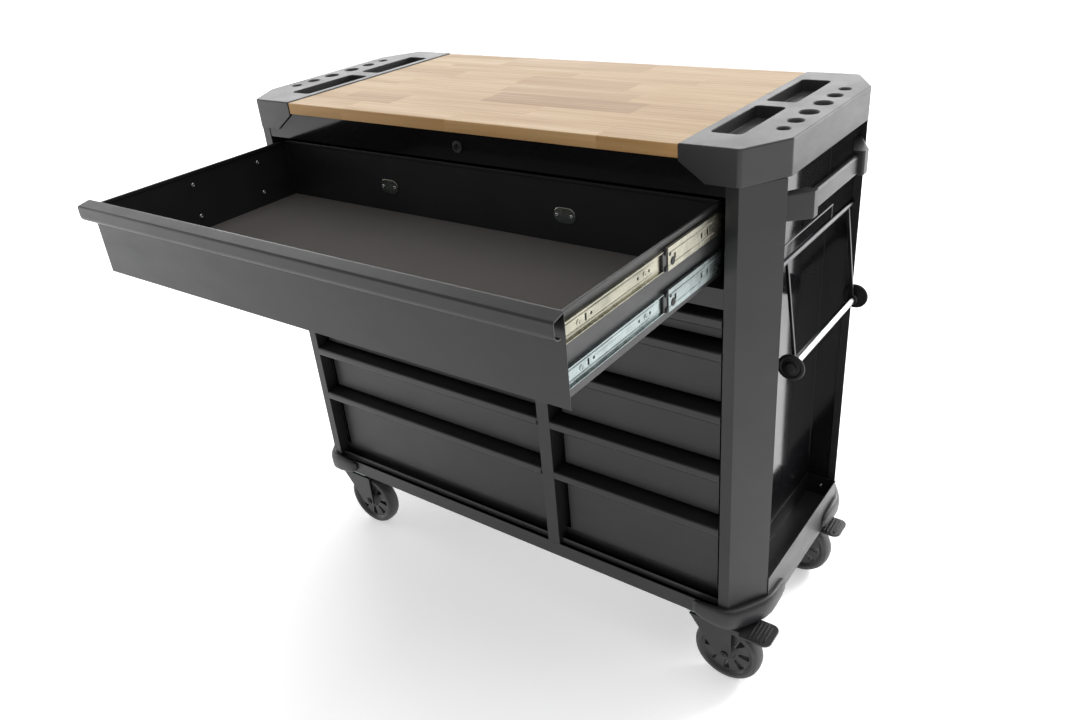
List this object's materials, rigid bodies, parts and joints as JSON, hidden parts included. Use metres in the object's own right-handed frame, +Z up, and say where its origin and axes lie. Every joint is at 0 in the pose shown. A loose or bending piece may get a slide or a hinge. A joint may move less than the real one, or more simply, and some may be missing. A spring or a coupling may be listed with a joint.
{
  "type": "workbench with drawers",
  "caption": "Mobile workshop bench: steel case on casters with one wide drawer over two drawer columns, wooden top between moulded tool trays, side handle and roll holder.",
  "frame": {"origin": "on the floor under the middle of the whole object's box, with its top drawer open", "axes": "+X to the right along the bench, towards the push handle; +Y from the drawer fronts to the back; +Z up"},
  "size_m": [1.108, 0.869, 0.98],
  "materials": {
    "worktop_wood": "clear lacquered finger-jointed staves",
    "tray_plastic": "grey moulded plastic with a fine grain",
    "grey_paint": "satin dark grey powder coat",
    "black_gloss": "gloss black paint",
    "black_paint": "satin black powder coat",
    "slide_steel": "bright zinc plated steel",
    "chrome": "polished chrome plate",
    "black_plastic": "textured dark moulded plastic",
    "drawer_liner": "dark foam rubber mat",
    "tyre": "black moulded wheel and tyre"
  },
  "bodies": {
    "cabinet": {"worktop": "worktop_wood", "tray_left": "tray_plastic", "tray_right": "tray_plastic", "post_front_left": "grey_paint", "post_front_right": "grey_paint", "post_rear_left": "grey_paint", "post_rear_right": "grey_paint", "cross_rail": "grey_paint", "divider": "grey_paint", "base_frame": "grey_paint", "side_shelf_left": "grey_paint", "side_shelf_right": "grey_paint", "handle_bar": "grey_paint", "top_fascia": "black_gloss", "side_panel_left": "black_gloss", "side_panel_right": "black_gloss", "back_panel": "black_paint", "top_frame": "black_paint", "bottom_pan": "black_paint", "kick_strip": "black_paint", "cabinet_slides": "slide_steel", "caster_plates": "slide_steel", "lock_housing": "chrome", "roll_holder": "chrome", "case_screws": "chrome", "corner_bumpers": "black_plastic", "handle_brackets": "black_plastic"},
    "lock_cylinder": {"lock_cylinder": "chrome"},
    "roll_rod": {"roll_rod": "chrome", "roll_discs": "black_plastic"},
    "top_drawer": {"top_drawer_box": "black_paint", "top_drawer_front": "grey_paint", "top_drawer_handle": "grey_paint", "top_drawer_liner": "drawer_liner", "top_drawer_slides": "slide_steel", "slide_latches": "black_plastic", "top_drawer_fittings": "chrome"},
    "middle_slides": {"middle_slides": "slide_steel"},
    "drawer_left_1": {"drawer_left_1": "grey_paint"},
    "drawer_left_2": {"drawer_left_2": "grey_paint"},
    "drawer_left_3": {"drawer_left_3": "grey_paint"},
    "drawer_left_4": {"drawer_left_4": "grey_paint"},
    "drawer_left_5": {"drawer_left_5": "grey_paint"},
    "drawer_right_1": {"drawer_right_1": "grey_paint"},
    "drawer_right_2": {"drawer_right_2": "grey_paint"},
    "drawer_right_3": {"drawer_right_3": "grey_paint"},
    "drawer_right_4": {"drawer_right_4": "grey_paint"},
    "drawer_right_5": {"drawer_right_5": "grey_paint"},
    "swivel_front": {"caster_fork_front_right": "black_paint"},
    "swivel_front_left": {"caster_fork_front_left": "black_paint"},
    "brake_pedal_front": {"brake_pedal_front": "black_plastic"},
    "wheel_front_left": {"wheel_front_left": "tyre"},
    "wheel_front_right": {"wheel_front_right": "tyre"},
    "swivel_rear": {"caster_fork_rear_right": "black_paint"},
    "swivel_rear_left": {"caster_fork_rear_left": "black_paint"},
    "brake_pedal_rear": {"brake_pedal_rear": "black_plastic"},
    "wheel_rear_left": {"wheel_rear_left": "tyre"},
    "wheel_rear_right": {"wheel_rear_right": "tyre"}
  },
  "joints": [
    {"name": "top_drawer_slide", "type": "slide", "parent": "cabinet", "child": "top_drawer", "axis": [0, -1, 0], "range_m": [-0.4, 0]},
    {"name": "middle_slides_slide", "type": "slide", "parent": "cabinet", "child": "middle_slides", "axis": [0, -1, 0], "range_m": [-0.2, 0]},
    {"name": "drawer_left_1_slide", "type": "slide", "parent": "cabinet", "child": "drawer_left_1", "axis": [0, -1, 0], "range_m": [0, 0.29]},
    {"name": "drawer_left_2_slide", "type": "slide", "parent": "cabinet", "child": "drawer_left_2", "axis": [0, -1, 0], "range_m": [0, 0.29]},
    {"name": "drawer_left_3_slide", "type": "slide", "parent": "cabinet", "child": "drawer_left_3", "axis": [0, -1, 0], "range_m": [0, 0.29]},
    {"name": "drawer_left_4_slide", "type": "slide", "parent": "cabinet", "child": "drawer_left_4", "axis": [0, -1, 0], "range_m": [0, 0.29]},
    {"name": "drawer_left_5_slide", "type": "slide", "parent": "cabinet", "child": "drawer_left_5", "axis": [0, -1, 0], "range_m": [0, 0.29]},
    {"name": "drawer_right_1_slide", "type": "slide", "parent": "cabinet", "child": "drawer_right_1", "axis": [0, -1, 0], "range_m": [0, 0.29]},
    {"name": "drawer_right_2_slide", "type": "slide", "parent": "cabinet", "child": "drawer_right_2", "axis": [0, -1, 0], "range_m": [0, 0.29]},
    {"name": "drawer_right_3_slide", "type": "slide", "parent": "cabinet", "child": "drawer_right_3", "axis": [0, -1, 0], "range_m": [0, 0.29]},
    {"name": "drawer_right_4_slide", "type": "slide", "parent": "cabinet", "child": "drawer_right_4", "axis": [0, -1, 0], "range_m": [0, 0.29]},
    {"name": "drawer_right_5_slide", "type": "slide", "parent": "cabinet", "child": "drawer_right_5", "axis": [0, -1, 0], "range_m": [0, 0.29]},
    {"name": "swivel_front", "type": "hinge", "parent": "cabinet", "child": "swivel_front", "pos_m": [0.435, -0.0075, 0.131], "axis": [0, 0, 1], "continuous": true},
    {"name": "swivel_front_left", "type": "hinge", "parent": "cabinet", "child": "swivel_front_left", "pos_m": [-0.459, -0.0075, 0.131], "axis": [0, 0, 1], "continuous": true},
    {"name": "brake_pedal_front", "type": "hinge", "parent": "swivel_front", "child": "brake_pedal_front", "pos_m": [0.49, -0.0075, 0.127], "axis": [0, 1, 0], "range_deg": [0, 12]},
    {"name": "wheel_front_right", "type": "hinge", "parent": "swivel_front", "child": "wheel_front_right", "pos_m": [0.47, -0.0075, 0.0625], "axis": [0, 1, 0], "continuous": true},
    {"name": "wheel_front_left", "type": "hinge", "parent": "swivel_front_left", "child": "wheel_front_left", "pos_m": [-0.424, -0.0075, 0.0625], "axis": [0, 1, 0], "continuous": true},
    {"name": "swivel_rear", "type": "hinge", "parent": "cabinet", "child": "swivel_rear", "pos_m": [0.435, 0.3265, 0.131], "axis": [0, 0, 1], "continuous": true},
    {"name": "swivel_rear_left", "type": "hinge", "parent": "cabinet", "child": "swivel_rear_left", "pos_m": [-0.459, 0.3265, 0.131], "axis": [0, 0, 1], "continuous": true},
    {"name": "brake_pedal_rear", "type": "hinge", "parent": "swivel_rear", "child": "brake_pedal_rear", "pos_m": [0.49, 0.3265, 0.127], "axis": [0, 1, 0], "range_deg": [0, 12]},
    {"name": "wheel_rear_right", "type": "hinge", "parent": "swivel_rear", "child": "wheel_rear_right", "pos_m": [0.47, 0.3265, 0.0625], "axis": [0, 1, 0], "continuous": true},
    {"name": "wheel_rear_left", "type": "hinge", "parent": "swivel_rear_left", "child": "wheel_rear_left", "pos_m": [-0.424, 0.3265, 0.0625], "axis": [0, 1, 0], "continuous": true},
    {"name": "lock_turn", "type": "hinge", "parent": "cabinet", "child": "lock_cylinder", "pos_m": [-0.012, -0.0315, 0.935], "axis": [0, 1, 0], "range_deg": [0, 90]},
    {"name": "roll_spin", "type": "hinge", "parent": "cabinet", "child": "roll_rod", "pos_m": [0.5265, 0.2085, 0.619], "axis": [0, 1, 0], "continuous": true}
  ],
  "couplings": [
    {"joint": "middle_slides_slide", "follows": "top_drawer_slide", "ratio": 0.5}
  ]
}
